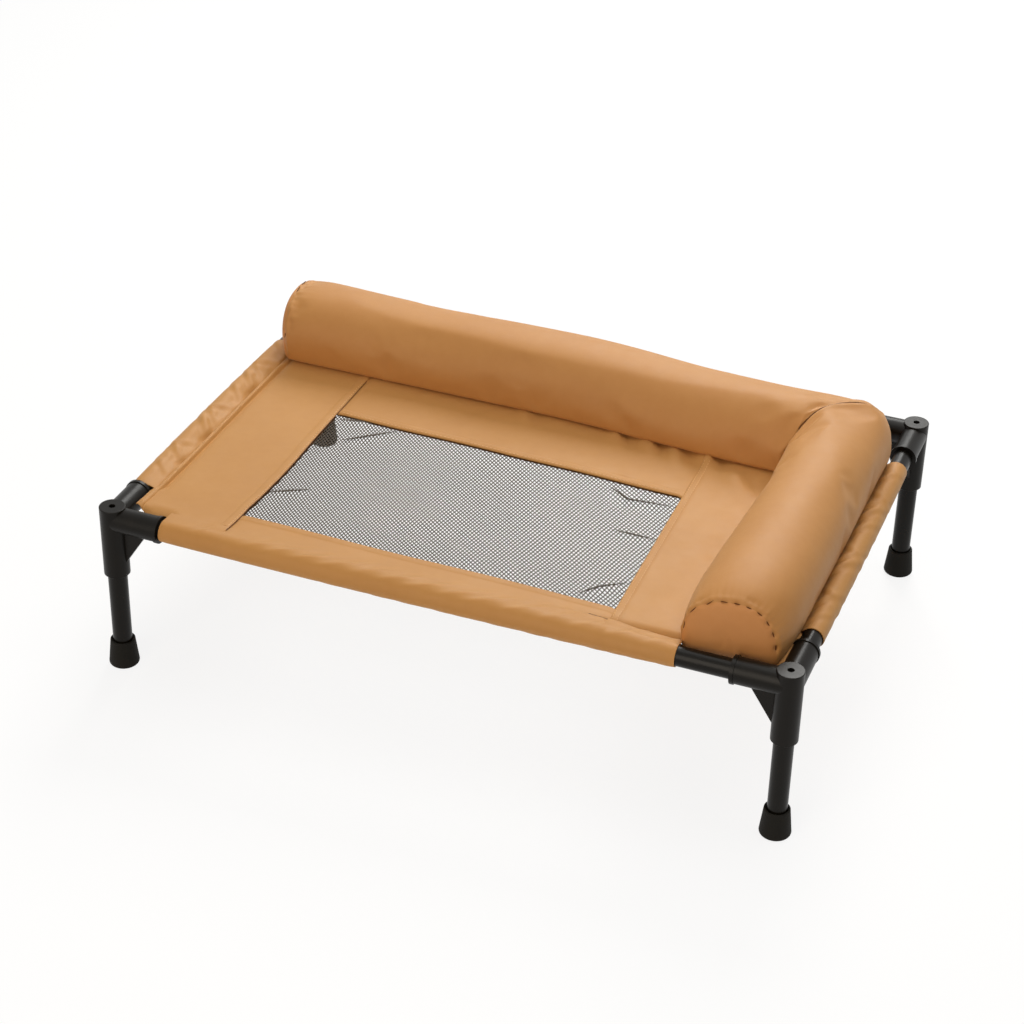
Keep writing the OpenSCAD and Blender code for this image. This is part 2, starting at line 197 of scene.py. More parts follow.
floor_finish = bpy.data.materials.new("pale_floor")
floor_finish.use_nodes = True
tree = floor_finish.node_tree
tree.nodes.remove(tree.nodes["Principled BSDF"])
floor_out = Wire(tree.nodes["Material Output"].inputs["Surface"])
pale = floor_out.node("BsdfDiffuse", {}, {"Color": (0.82, 0.82, 0.82, 1)})
shade = floor_out.node("BsdfDiffuse", {}, {"Color": (0.15, 0.15, 0.15, 1)})
glow = floor_out.node("Emission", {}, {"Color": (1, 1, 1, 1), "Strength": 0.86})
open_floor = floor_out.node("AddShader", {}, {0: shade, 1: glow})
tree.links.new(white_where_seen(floor_out, pale, open_floor).socket, floor_out.socket)

TILE, UNDER_FEET, LIT_POINT = 6, 0.0002, Vector((0, 0, 0.15))
for leg, side, depth in (
    ("leg_front_left", -1, -1), ("leg_front_right", 1, -1),
    ("leg_rear_right", 1, 1), ("leg_rear_left", -1, 1),
):
    middle = (TILE / 2 * side, TILE / 2 * depth, -UNDER_FEET)
    bpy.ops.mesh.primitive_plane_add(size=TILE, location=middle)
    tile = bpy.context.object
    tile.name = "floor_under_" + leg
    tile.data.materials.append(floor_finish)
    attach(tile, leg)

for name, place, size, watts, colour in (
    ("rear_lamp", (-0.25, 2.0, 1.95), 1.2, 50, (1, 1, 0.97)),
    ("top_lamp", (0.5, 0.3, 2.4), 2.0, 27, (1, 1, 0.97)),
    ("front_lamp", (-0.2, -2.5, 1.2), 1.8, 31, (1, 0.88, 0.74)),
):
    bpy.ops.object.light_add(type="AREA", location=place)
    lamp = bpy.context.object
    lamp.name = name
    lamp.data.size, lamp.data.energy, lamp.data.color = size, watts, colour
    lamp.rotation_euler = (Vector(place) - LIT_POINT).to_track_quat("Z", "Y").to_euler()

# %% [markdown]
# ## Finishes of the frame
#
# The rails and legs are powder-coated steel: a thin baked skin with a faint orange peel. The
# corner connectors are moulded plastic with a fine grain from the mould, and the feet are rubber,
# which is duller and picks up pale dust. All three are black, so they are told apart by gloss.

# %% Steel, plastic and rubber
def black(name, level, tones, patches, roughness, grain, relief):
    """A black finish: soft patches set its tone and roughness, and its skin has a fine grain."""
    finish, shader, place = start_finish(name, "Object", Specular_IOR_Level=level)
    patch = cloud(place, *patches)
    feed(
        shader,
        Base_Color=patch.between(*(srgb(*tone) for tone in tones)),
        Roughness=roughness[0] + roughness[1] * patch,
        Normal=bump(cloud(place, grain, 2.0), *relief),
    )
    return finish


coated_steel = black(
    "powder_coated_steel", 0.15, ((13, 11, 7), (22, 19, 14)),
    patches=(24,), roughness=(0.22, 0.14), grain=1.1, relief=(0.05, 0.5),
)
moulded_plastic = black(
    "connector_plastic", 0.15, ((12, 10, 6), (22, 18, 13)),
    patches=(18,), roughness=(0.28, 0.14), grain=0.7, relief=(0.05, 0.6),
)
foot_rubber = black(
    "foot_rubber", 0.12, ((17, 16, 13), (32, 30, 26)),
    patches=(9, 5.0), roughness=(0.55, 0.25), grain=0.9, relief=(0.06, 0.6),
)
FINISHES = {
    "rail": coated_steel, "leg": coated_steel, "connector": moulded_plastic, "foot": foot_rubber,
}
for name, node in nodes.items():
    finish = FINISHES.get(name.rsplit("_", 1)[1])
    if finish:
        node.data.materials.clear()
        node.data.materials.append(finish)
print("frame finishes on", sum(len(n.data.materials) > 0 for n in nodes.values()), "nodes")

# %% [markdown]
# ## Finishes of the cloth
#
# The sling and the rolls are cut from one tan oxford cloth: a plain weave of flat polyester yarns,
# coated at the back. The weave has to follow each piece as it bends, so it is drawn on the cloth's
# own UV map, which every piece below carries in metres. Two crossed sines make the yarns, and
# slow clouds keep a wide panel from looking printed.

# %% Woven cloth
WEAVE = 0.9


def woven(name, dark, light, sheen):
    """Cloth of a plain weave, between two tones."""
    finish, shader, cut = start_finish(
        name, "UV", Specular_IOR_Level=0.38, Sheen_Weight=sheen, Sheen_Roughness=0.5
    )
    shader.inputs["Sheen Tint"].default_value = (1.0, 0.98, 0.72, 1)
    yarn = 2 * math.pi / (WEAVE * MM)
    across = cut.node("SeparateXYZ", {}, {0: cut}).socket.node.outputs
    warp = cut.math("SINE", Wire(across["X"]) * yarn)
    weft = cut.math("SINE", Wire(across["Y"]) * yarn)
    crossing = 0.5 + 0.5 * (warp * weft)
    body = cut.node("TexCoord", {}, {}, out=3)
    mottle = 0.55 * cloud(body, 70) + 0.3 * cloud(body, 9) + 0.15 * crossing
    feed(
        shader,
        Base_Color=mottle.between(srgb(*dark), srgb(*light)),
        Roughness=0.5 + 0.16 * cloud(body, 14),
        Normal=bump(crossing, 0.12, 0.35),
    )
    return finish


sling_cloth = woven("sling_fabric", (177, 123, 62), (197, 144, 80), 0.1)
roll_cloth = woven("bolster_fabric", (179, 122, 64), (199, 144, 82), 0.08)
cap_cloth = woven("bolster_end_fabric", (188, 125, 68), (209, 147, 87), 0.06)


def spun(name, dark, light, shine):
    """A yarn or thread, whose tone changes along its length."""
    finish, shader, place = start_finish(name, "Object", Specular_IOR_Level=shine)
    tone = 0.7 * cloud(place, 35) + 0.3 * cloud(place, 2)
    colour, roughness = tone.between(srgb(*dark), srgb(*light)), 0.36 + 0.2 * cloud(place, 2)
    feed(shader, Base_Color=colour, Roughness=roughness)
    return finish


hem_thread = spun("hem_thread", (201, 151, 93), (224, 178, 121), 0.4)
# Dark thread: partly real stitching, partly painted shade in laps, creases and seams
seam_thread_and_painted_shade = spun("seam_thread_and_painted_shade", (84, 50, 22), (112, 70, 34), 0.2)
net_yarn = spun("window_mesh", (40, 30, 16), (70, 55, 33), 0.35)
# Dark yarn of the net's edge, which paints the shadow gap under the hems
painted_shade_edge_yarn = spun("net_edge_painted_shade", (70, 46, 25), (98, 67, 39), 0.2)
print("finishes:", [finish.name for finish in bpy.data.materials])

# %% [markdown]
# ## A sheet of cloth from a grid
#
# Every sewn sheet starts as a flat grid, like a cut piece on a table. A function then says where
# each point of the cut goes, which is how one would push a sheet into place by hand, only exactly.
# The grid's UV map is stretched to the cut's real size, and Solidify gives the cloth its body.

# %% Tools for sheets
def select_only(piece):
    """Leaves one object selected and active, in object mode."""
    bpy.ops.object.select_all(action="DESELECT")
    piece.select_set(True)
    bpy.context.view_layer.objects.active = piece


def read_vertices(piece, what):
    """The places or the normals of a mesh's vertices."""
    flat = np.empty(len(piece.data.vertices) * 3)
    piece.data.vertices.foreach_get(what, flat)
    return flat.reshape(-1, 3)


def points_of(piece):
    """A mesh's vertices as an array of millimetres."""
    return read_vertices(piece, "co") / MM


def move_points(piece, points):
    """Puts a mesh's vertices where an array of millimetres says."""
    piece.data.vertices.foreach_set("co", (points * MM).ravel())
    piece.data.update()


def cut_cloth(name, columns, rows, width, length, where, finish):
    """A grid of cloth, width by length, whose point (s, t) goes to where(s, t)."""
    bpy.ops.object.select_all(action="DESELECT")
    bpy.ops.mesh.primitive_grid_add(x_subdivisions=columns, y_subdivisions=rows, size=1)
    piece = bpy.context.object
    piece.name = name
    cut = points_of(piece) * MM + 0.5
    move_points(piece, np.stack(where(cut[:, 0], cut[:, 1]), axis=1))
    layer = piece.data.uv_layers.active.data
    uv = np.empty(len(layer) * 2)
    layer.foreach_get("uv", uv)
    layer.foreach_set("uv", (uv.reshape(-1, 2) * (width * MM, length * MM)).ravel())
    piece.data.materials.append(finish)
    bpy.ops.object.shade_smooth()
    return piece


def thicken(piece, thickness):
    """Gives a sheet its thickness, on the side away from its normals."""
    select_only(piece)
    bpy.ops.object.modifier_add(type="SOLIDIFY")
    piece.modifiers["Solidify"].thickness = thickness * MM
    piece.modifiers["Solidify"].offset = -1
    bpy.ops.object.modifier_apply(modifier="Solidify")
    bpy.ops.object.shade_smooth_by_angle(angle=math.radians(50))


def edit(piece, *steps):
    """Runs operators with their settings on a whole mesh."""
    select_only(piece)
    bpy.ops.object.mode_set(mode="EDIT")
    bpy.ops.mesh.select_all(action="SELECT")
    for operator, settings in steps:
        operator(**settings)
    bpy.ops.object.mode_set(mode="OBJECT")


def turn_over(piece):
    """Turns a sheet's normals to its other side."""
    edit(piece, (bpy.ops.mesh.flip_normals, {}))


def sew_in(piece, node, width, length):
    """Gives a sheet of the sling its body, hides the CAD node it replaces and prints its flat size."""
    thicken(piece, CLOTH)
    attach(piece, "cot_frame")
    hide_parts(node)
    length * MM
    print(f"{node}: cut {width:.0f} x {length:.0f} mm")


def ease(low, high, x):
    """A smooth step from 0 at low to 1 at high."""
    t = np.clip((x - low) / (high - low), 0, 1)
    return t * t * (3 - 2 * t)


def bell(x, middle, width):
    """A soft bump of height 1."""
    return np.exp(-(((x - middle) / width) ** 2))


def span(node, axis):
    """How far a CAD node reaches along an axis, in millimetres."""
    low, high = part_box(node)
    return low[axis] / MM, high[axis] / MM


RAIL_Z = sum(span("front_rail", 2)) / 2
HALF_X = sum(span("right_rail", 0)) / 2
HALF_Y = sum(span("rear_rail", 1)) / 2
SLING_Z = span("left_panel", 2)[1]
SEAM = HALF_Y - span("left_panel", 1)[1]
CLOTH = 0.8
print(f"rails at z {RAIL_Z:.1f}, sling at z {SLING_Z:.1f}, sewn {SEAM:.1f} from the rail axes")

# %% [markdown]
# ## The shape of the stretched sling
#
# A stretched sling isn't quite flat. Along the front it climbs to the rail, so that no step shows
# where it rolls over the tube, except near the right end, where the cloth is slack and falls
# into a crease. Against the rolls it is tugged into short folds. One height for every point keeps
# the four panels, the sleeves and the stitches in step.

# %% Height of the sling and edges of the window
FRONT_RISE, REAR_RISE, CREASE, RIPPLE = 2.15, 1.0, 5.6, 0.35
# Tugs against the rolls: place, width and height of each
TUGS = (
    (59, 94, 7, 3.0), (95, 90, 9, 3.8), (126, 80, 10, 4.2),
    (158, 86, 9, 3.8), (196, 58, 13, 4.4), (-40, 95, 8, 1.8),
)


def slack(x):
    """How slack the sling is along its front sewn line, from 0 to 1."""
    return ease(120, 225, x)


def sling_height(x, y):
    """Height of the sling's upper face."""
    from_front, from_rear = y + HALF_Y - SEAM, HALF_Y - SEAM - y
    z = SLING_Z + FRONT_RISE * (1 - slack(x)) * np.clip(1 - from_front / 32, 0, 1.2) ** 2
    z = z - CREASE * slack(x) * np.clip(1 - from_front / 7, 0, 1) ** 2
    z = z + REAR_RISE * np.clip(1 - from_rear / 14, 0, 1.2) ** 2
    z = z + RIPPLE * np.sin(x / 41 + 0.8 * np.sin(y / 47)) * np.sin(y / 38 + x / 150)
    for tug_x, tug_y, width, height in TUGS:
        along, over = (x - tug_x) + 0.45 * (y - tug_y), y - tug_y
        z = z + height * bell(along, 0, width) * bell(over, 4, 17)
        z = z - 0.8 * height * bell(along, 1.7 * width, width) * bell(over, 2, 14)
    return z


def window_left(y):
    return -217.9 + 1.9 * bell(y, -95, 55) - 1.6 * ease(-145, -175, y)


def window_right(y):
    return 158 - 1.9e-2 * (y + 90)


def window_rear(x):
    return 18 - 3.2e-2 * (x + 31) + 0.9 * np.sin(x / 29 + 0.6) * np.sin(x / 83)


def window_front(x):
    return -189 - 1.6e-2 * (x + 27) + 0.4 * np.sin(x / 35)


grid = sling_height(*np.meshgrid(np.linspace(-300, 300, 61), np.linspace(-200, 90, 30)))
print(f"sling between z {grid.min():.1f} and {grid.max():.1f}")

# %% [markdown]
# ## Rail sleeves
#
# A sleeve is a strip that goes from the sewn line over the tube, round below it and back up to the
# same seam. It could be a bent tube, but then it would have no seam and no slack. Here the
# strip's section is drawn at each station along the rail: a line that touches the tube, an arc, and
# a second line. Where the sleeve is slack the first line bulges and drops steeply to its seam, and
# folds run slantwise round the tube. On the left it also sinks into pockets beside its seam.

# %% Section of a sleeve
# Radius of a sleeve at its ends, and the gap between its two edges at the seam
SNUG, SEAM_GAP = 10.7, 1.6


def sleeve_section(radius, seam_up, plump, steps):
    """Points (inwards, up) from the rail axis: the sewn line, over the tube, and back underneath."""
    below = seam_up - SEAM_GAP
    reach = math.hypot(SEAM, seam_up)
    start = math.atan2(seam_up, SEAM) + math.acos(radius / reach)
    end = 2 * math.pi + math.atan2(below, SEAM) - math.acos(radius / math.hypot(SEAM, below))
    w = np.linspace(0, 1, 30)[:-1, None]
    sewn, touch = np.array([SEAM, seam_up]), radius * np.array([math.cos(start), math.sin(start)])
    length = math.dist(sewn, touch)
    rise = sewn + (1 - plump) * (touch - sewn) / 3 + plump * np.array([0.3, 0.5 * length])
    glide = touch + 0.36 * length * np.array([math.sin(start), -math.cos(start)])
    first = (1 - w) ** 3 * sewn + 3 * (1 - w) ** 2 * w * rise
    first = first + 3 * (1 - w) * w**2 * glide + w**3 * touch
    angle = np.linspace(start, end, 90)
    arc = radius * np.stack([np.cos(angle), np.sin(angle)], axis=1)
    last = arc[-1] + w[1:] * (np.array([SEAM, below]) - arc[-1])
    line = np.concatenate([first, arc, last, [[SEAM, below]]])
    run = np.concatenate([[0], np.cumsum(np.hypot(*np.diff(line, axis=0).T))])
    even = np.linspace(0, run[-1], steps + 1)
    return np.stack([np.interp(even, run, part) for part in line.T], axis=1), run[-1]


def beside(side, run, inwards, z):
    """A point at a place along a rail, a distance in from its axis and a height."""
    return {
        "front": (run, inwards - HALF_Y, z), "rear": (run, HALF_Y - inwards, z),
        "left": (inwards - HALF_X, run, z), "right": (HALF_X - inwards, run, z),
    }[side]


def sleeve(side, seam_up, plump, loose, folds, laps=(), pockets=()):
    """One sleeve: its sewn line by place along the rail and its plumpness by share of the way. A
    fold is a place, depth, width and slant, and a pocket by the seam has no slant. A lap is a panel's
    edge that runs on over the sleeve, and the way it faces."""
    along_x = side in ("front", "rear")
    start, end = span(side + "_sleeve", 0 if along_x else 1)
    by_lap = [float(lap(-HALF_Y)) + step for lap, _ in laps for step in np.linspace(-2, 4, 13)]
    runs = np.array(sorted([*np.linspace(start, end, int((end - start) / 3)), *by_lap]))
    columns, rows = 48, len(runs) - 1
    stations, widths = [], []
    for t in (runs - start) / (end - start):
        full = SNUG + (loose - SNUG) * math.sqrt(math.sin(math.pi * min(max(t, 0), 1)))
        line, width = sleeve_section(full, seam_up(start + t * (end - start)), plump(t), columns)
        stations.append(line)
        widths.append(width)
    stations = np.array(stations)

    def where(s, t):
        i, j = np.rint(t * rows).astype(int), np.rint(s * columns).astype(int)
        inwards, height = stations[i, j].T
        angle, run = np.arctan2(height, inwards), runs[i]
        # Folds are deepest over the tube
        flank = 0.25 + 0.75 * ease(0.1, 0.5, angle) * (1 - ease(1.5, 2.2, angle))
        fold = 0
        for place, depth, width, slant in folds:
            off = (run - place - slant * (angle - 0.9)) / width
            fold = fold + flank * depth * (0.9 * bell(off, 1.7, 1) - bell(off, 0, 1))
        fold = fold * ease(0, 0.12, s) * ease(0, 0.12, 1 - s)
        for lap, way in laps:
            past = way * (run - lap(inwards - HALF_Y))
            step = 0.8 * ease(-0.5, 0.3, past) * (1 - ease(6, 26, past)) - 0.9 * bell(past, -0.8, 0.7)
            fold = fold + step * (1 - ease(0.1, 0.17, s))
        grow = 1 + np.maximum(fold, -0.9) / np.maximum(np.hypot(inwards, height), 1)
        inwards, height = inwards * grow, height * grow
        for place, depth, width in pockets:
            height = height - depth * bell(run, place, width) * bell(s, 0.06, 0.045)
        return beside(side, run, inwards, RAIL_Z + height)

    name, length = side + "_sleeve", end - start
    piece = cut_cloth(name + "_cloth", columns, rows, max(widths), length, where, sling_cloth)
    normals = np.array([p.normal for p in piece.data.polygons])
    centres = np.array([p.center for p in piece.data.polygons]) / MM
    away = centres - beside(side, 0, 0, RAIL_Z)
    away[:, 0 if along_x else 1] = 0
    if (normals * away).sum() < 0:
        turn_over(piece)
    sew_in(piece, name, float(np.mean(widths)), length)


# %% The four sleeves
FRONT_FOLDS = (
    (-238, 0.6, 4, -12), (-176, 0.8, 6, -20), (-146, 1.1, 6, -26), (-118, 0.9, 6, -26),
    (-88, 1.2, 7, -28), (-58, 0.8, 5, -24), (-30, 1.0, 6, -26), (0, 1.3, 7, -28),
    (32, 1.0, 6, -26), (60, 1.3, 7, -28), (92, 1.0, 6, -24), (122, 0.8, 5, -20),
    (152, 1.0, 6, -20), (182, 0.8, 5, -16), (214, 0.8, 5, -14),
)
SIDE_FOLDS = (
    (-150, 1.0, 4, 10), (-121, 1.5, 5, 12), (-98, 0.9, 4, -9), (-66, 1.9, 6, 14),
    (-44, 1.1, 4, 13), (-20, 1.0, 4, -9), (8, 1.3, 5, 12), (36, 1.7, 5, 13),
    (60, 1.0, 4, 11), (83, 1.1, 4, -9), (112, 1.0, 4, 10),
)
POCKETS = ((-121, 4, 9), (-67, 6, 15), (33, 6, 15), (78, 3, 9))
# How far the sling is pressed down between the side roll and its sleeve
VALLEY = 5.0


def front_seam(x):
    """Height of the front sewn line over the rail axis."""
    return float(sling_height(x, -(HALF_Y - SEAM))) - RAIL_Z


front_laps = ((window_left, -1), (window_right, 1))
sleeve("front", front_seam, lambda t: float(ease(0.7, 0.93, t)), 12.2, FRONT_FOLDS, front_laps)
sleeve("rear", lambda x: SLING_Z + 1 - RAIL_Z, lambda t: 0.3, 11.5, FRONT_FOLDS[3:9])
sleeve("left", lambda y: SLING_Z - 4.6 - RAIL_Z, lambda t: 0.8, 12.2, SIDE_FOLDS, pockets=POCKETS)
sleeve("right", lambda y: SLING_Z - 3.2 - VALLEY - RAIL_Z, lambda t: 0.5, 11.6, SIDE_FOLDS)

# %% [markdown]
# ## The four panels
#
# The left and right panels run the full depth, and the short front and rear panels lie between
# them, tucked under their edges. Each panel is folded under at the window, so its edge is round
# and stands a little proud of the net. Along the side sleeves the seam is a narrow welt. A panel's
# section across the seam and the fold is drawn once, and the grid's columns follow it.

# %% A panel's section
# Fold at a window's edge: distance back from it, and height over the sling
FOLD = ((11, 0.0), (9.4, 0.1), (8, 0.55), (5, 0.75), (2.6, 0.7), (1.2, 0.45), (0.35, -0.1),
        (0.0, -0.8), (0.35, -1.5), (1.4, -1.9), (4, -2.0), (8, -2.0))
# Welt along a side sleeve: distance in from its seam, and height over the sling
WELT = [(SEAM + inwards, lift) for inwards, lift in (
    (-0.7, -6.6), (-0.6, -3.4), (-0.3, -1.6), (0.2, 0.4), (1.1, 1.7), (2.4, 2.2), (3.7, 1.9),
    (4.7, 0.8), (5.3, -0.8), (6.0, -1.7), (7.2, -1.5), (9.5, -0.4), (12, 0.0),
)]


def finer(line, most):
    """Adds points to a section so that no two are further apart than this."""
    points = [line[0]]
    for a, b in zip(line, line[1:]):
        n = max(1, math.ceil(math.dist(a, b) / most))
        points += [tuple(np.add(a, np.multiply(np.subtract(b, a), i / n))) for i in range(1, n + 1)]
    return np.array(points)


def to_window(start, edge, step):
    """A section's flat part, from start, and its fold at the window's edge."""
    fold = [(edge - back_off, lift) for back_off, lift in FOLD]
    return np.concatenate([finer([(start, 0.0), fold[0]], step), finer(fold, 1.2)[1:]])


def panel(name, section, rows, start, end, where):
    """One panel: its section (across, lift) is swept from start to end along the other axis."""
    columns = len(section) - 1
    width = float(np.hypot(*np.diff(section, axis=0).T).sum())
    length = abs(end - start)

    def on_sling(s, t):
        across, lift = section[np.rint(s * columns).astype(int)].T
        return where(across, lift, start + t * (end - start))

    piece = cut_cloth(name + "_cloth", columns, rows, width, length, on_sling, sling_cloth)
    if np.mean([p.normal.z > 0 for p in piece.data.polygons]) < 0.5:
        turn_over(piece)
    sew_in(piece, name, width, length)


# %% Left and right panels, with a welt on one side and a fold on the other
def side_panel(name, sign, window):
    """sign is -1 on the left and 1 on the right."""
    edge = HALF_X - sign * float(window(-90.0))
    section = np.concatenate([finer(WELT, 1.2), to_window(WELT[-1][0], edge, 5)[1:]])
    front, rear = -(HALF_Y - SEAM), HALF_Y - SEAM
    sleeve_end = abs(span("front_sleeve", 0)[0 if sign < 0 else 1])
    sleeve_start = span(name.replace("panel", "sleeve"), 1)[0]

    def where(inwards, lift, y):
        skew = sign * (float(window(-90.0)) - window(y)) * ease(40, edge, inwards)
        x = sign * (HALF_X - inwards - skew)
        # The rolls press the welt flat
        pressed = 1 - 0.9 * ease(84, 100, y) if sign < 0 else 0.25
        lift = np.where(inwards < WELT[-1][0], lift * np.where(lift > 0, pressed, 1), lift)
        # Past the front sleeve the edge is free and droops
        free = ease(sleeve_end - 3, sleeve_end + 3, np.abs(x)) * (1 - ease(front, front + 20, y))
        point = np.clip((np.abs(x) - 300) / 21, 0, 1)
        y = y - free * (9.5 - 14.5 * point if sign < 0 else 9 * ease(294, 310, x) - 7)
        droop = 8 * free * (1 - ease(front - 7.5, front + 4, y))
        # In front of the side sleeve it is free too
        open_side = 1 - ease(sleeve_start - 4, sleeve_start + 4, y)
        edge_on = 1 - ease(SEAM - 1.2, SEAM + 8, inwards)
        x = x + sign * (9.0 if sign > 0 else 3.2) * open_side * edge_on
        lift = np.where(lift < 0, lift * (1 - open_side * (inwards < WELT[-1][0])), lift)
        # The side roll presses the right panel down
        if sign > 0:
            droop = 9 * ease(sleeve_end - 3, sleeve_end + 8, x) * (1 - ease(front - 2, front + 26, y))
            droop = open_side * edge_on + droop
            x = x - 10 * ease(188, 206, y) * ease(296, 316, x)
            droop = droop + VALLEY * (1 - ease(SEAM, SEAM + 18, inwards)) * (1 - open_side)
        return x, y, sling_height(x, y) + lift - droop

    panel(name, section, 96, front, rear, where)


side_panel("left_panel", -1, window_left)
side_panel("right_panel", 1, window_right)

# %% Front and rear panels, tucked under the side panels
def cross_panel(name, sign, window, reach):
    """sign is -1 at the front and 1 at the rear."""
    edge = HALF_Y - sign * float(window(-30.0))
    section = to_window(SEAM, edge, 4)

    def where(inwards, lift, x):
        skew = sign * (float(window(-30.0)) - window(x)) * ease(edge - reach, edge - 9, inwards)
        y = sign * (HALF_Y - inwards - skew)
        left, right = 1 - ease(0, 3, x - window_left(y) - 1), ease(-3, 0, x - window_right(y) + 1)
        tucked = 1.1 * left + 1.1 * right
        return x, y, sling_height(x, y) + lift - tucked

    start, end = float(window_left(0)) - 9, float(window_right(0)) + 11
    panel(name, section, 100, start, end, where)


cross_panel("front_panel", -1, window_front, 22)
cross_panel("rear_panel", 1, window_rear, 120)

# %% [markdown]
# ## The mesh window
#
# The net is a knitted polyester mesh with diamond holes of about two millimetres. A picture of
# holes would fail from close by and from below, so the strands are real: two families of lines
# cross the window, each line is a curve with a small section, and the curves become one mesh, whose
# yarn is pressed flat. Folds that start at the sewn edge lift the strands, and along each fold the
# net lies doubled.

# %% The net
# Radius of the yarn, and factors that press it flat
YARN, PRESSED = 0.458, (1.38, 1.38, 0.35)
# Depth of the net and its folds below the sling
NET_DEPTH, FOLD_DEPTH = 2.6, 1.6
# Two families of strands: distance along x, and lean to the right per step to the rear
FAMILIES = ((5.3, -1.25), (3.5, 0.21))
# Reach of the net in x and y, and its hem
NET, NET_HEM = ((-229, 170), (-203, 40)), 12
MESH_FOLDS = (
    ((84, 4), (109, -11), (153, -7)), ((115, -68), (156, -69)), ((120, -181), (134, -163), (156, -148)),
    ((-193, -21), (-149, 17)), ((-216, -137), (-181, -117)), ((-212, 15), (-174, 26)),
)


def distance_to_line(x, y, line):
    """Points' distance from a line of straight runs, share of the way along it, and way to it."""
    best, share, way = np.full(x.shape, 1e9), np.zeros(x.shape), [np.zeros(x.shape)] * 2
    for k, (a, b) in enumerate(zip(line, line[1:])):
        dx, dy = b[0] - a[0], b[1] - a[1]
        t = np.clip(((x - a[0]) * dx + (y - a[1]) * dy) / (dx * dx + dy * dy), 0, 1)
        to_x, to_y = a[0] + t * dx - x, a[1] + t * dy - y
        d = np.hypot(to_x, to_y)
        share = np.where(d < best, (k + t) / (len(line) - 1), share)
        way = [np.where(d < best, to_x, way[0]), np.where(d < best, to_y, way[1])]
        best = np.minimum(best, d)
    return best, share, way


def hang(x, y):
    """Where a point of the flat net comes to lie: drawn to the left, dipping, and lifted in folds."""
    share = (x - NET[0][0]) / (NET[0][1] - NET[0][0])
    x = x + 60 * (share - 1) * share
    to_edges = [x - NET[0][0], NET[0][1] - x, y - NET[1][0], NET[1][1] - y]
    from_hem = np.minimum.reduce(to_edges) - NET_HEM
    waves = 0.7 * np.sin(x / 27 + y / 60) * np.sin(y / 33) * ease(0, 25, from_hem)
    z = SLING_Z - NET_DEPTH - (1.4 * ease(0, 60, from_hem) + waves)
    for line in MESH_FOLDS:
        away, share, to_line = distance_to_line(x, y, line)
        hold = bell(away, 0, 6.0) * ease(0, 0.25, share) * ease(0, 0.25, 1.0 - share)
        x, y = x + 0.5 * hold * to_line[0], y + 0.5 * hold * to_line[1]
        z = z + 1.3 * hold
    return np.stack([x, y, z], axis=1)


strands = bpy.data.curves.new("mesh_panel_net", "CURVE")
strands.dimensions, strands.bevel_depth, strands.bevel_resolution = "3D", YARN * MM, 0
strands.use_fill_caps = True


def add_strand(points, radius):
    strand = strands.splines.new("POLY")
    strand.points.add(len(points) - 1)
    strand.points.foreach_set("co", np.hstack([points * MM, np.ones((len(points), 1))]).ravel())
    strand.points.foreach_set("radius", radius)


depth = NET[1][1] - NET[1][0]
for apart, lean in FAMILIES:
    for foot in np.arange(NET[0][0] - max(lean, 0) * depth, NET[0][1] - min(lean, 0) * depth, apart):
        ends = sorted(np.clip([(x - foot) / lean for x in NET[0]], 0, depth))
        if ends[1] - ends[0] > apart:
            rise = np.linspace(*ends, 2 + int((ends[1] - ends[0]) * math.hypot(1, lean) / 4.2))
            add_strand(hang(foot + lean * rise, NET[1][0] + rise), np.ones(len(rise)))
for line in MESH_FOLDS:
    share = np.linspace(0, 1, 30)
    x, y = (np.interp(share, np.linspace(0, 1, len(line)), [p[k] for p in line]) for k in (0, 1))
    z = np.full(30, SLING_Z - FOLD_DEPTH)
    add_strand(np.stack([x, y, z], axis=1), 0.55 + 1.65 * np.sin(share * math.pi))
net = bpy.data.objects.new("mesh_panel_net", strands)
bpy.context.collection.objects.link(net)
select_only(net)
bpy.ops.object.convert(target="MESH")
net = bpy.context.object
# Four points make a ring of the yarn's section
rings = points_of(net).reshape(-1, 4, 3)
middles = rings.mean(axis=1, keepdims=True)
move_points(net, (middles + (rings - middles) * np.array(PRESSED)).reshape(-1, 3))
bpy.ops.object.shade_smooth()
net.data.materials.append(net_yarn)
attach(net, "cot_frame")
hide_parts("mesh_panel")
print(f"net: {len(strands.splines)} strands, {len(net.data.polygons)} faces")


# %% Selvedges of the net, dark strips that paint the shade under the hems
def selvedge_painted_shade(side, window, inside, start, end):
    """The net's close-knitted edge along one side of the window, dark to paint the hem's shade."""
    def where(s, t):
        run = start + t * (end - start)
        edge = window(run) + inside * (5 * s - 4.35)
        x, y = (run, edge) if side == "rear" else (edge, run)
        return x, y, sling_height(x, y) - 2.2

    strip = cut_cloth(side + "_selvedge", 3, 70, 5, end - start, where, painted_shade_edge_yarn)
    if strip.data.polygons[0].normal.z < 0:
        turn_over(strip)
    thicken(strip, 0.4)
    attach(strip, "cot_frame")
    return strip


# Only the left and rear edges, where the hem's shade shows, get a strip of painted shade
edges = [
    selvedge_painted_shade("left", window_left, 1, -192, 21),
    selvedge_painted_shade("rear", window_rear, -1, -220, 160),
]
print("selvedges:", [edge.name for edge in edges])

# %% [markdown]
# ## Stitches
#
# The hems round the window are held by rows of topstitching: short stitches of a thread that is a
# little lighter than the cloth. One stitch is modelled from a sphere that is drawn out and pressed
# flat, and is then copied along each row. A bump map would be quicker, but a stitch that lies on
# the cloth catches the light and throws a small shadow.

# %% One stitch, and rows of it
bpy.ops.object.select_all(action="DESELECT")
bpy.ops.mesh.primitive_uv_sphere_add(segments=8, ring_count=5, radius=0.5)
stitch = bpy.context.object
stitch.name = "stitch"
lying = {"value": math.pi / 2, "orient_axis": "Y", "center_override": (0, 0, 0)}
edit(stitch, (bpy.ops.transform.rotate, lying))
bpy.ops.object.shade_smooth()


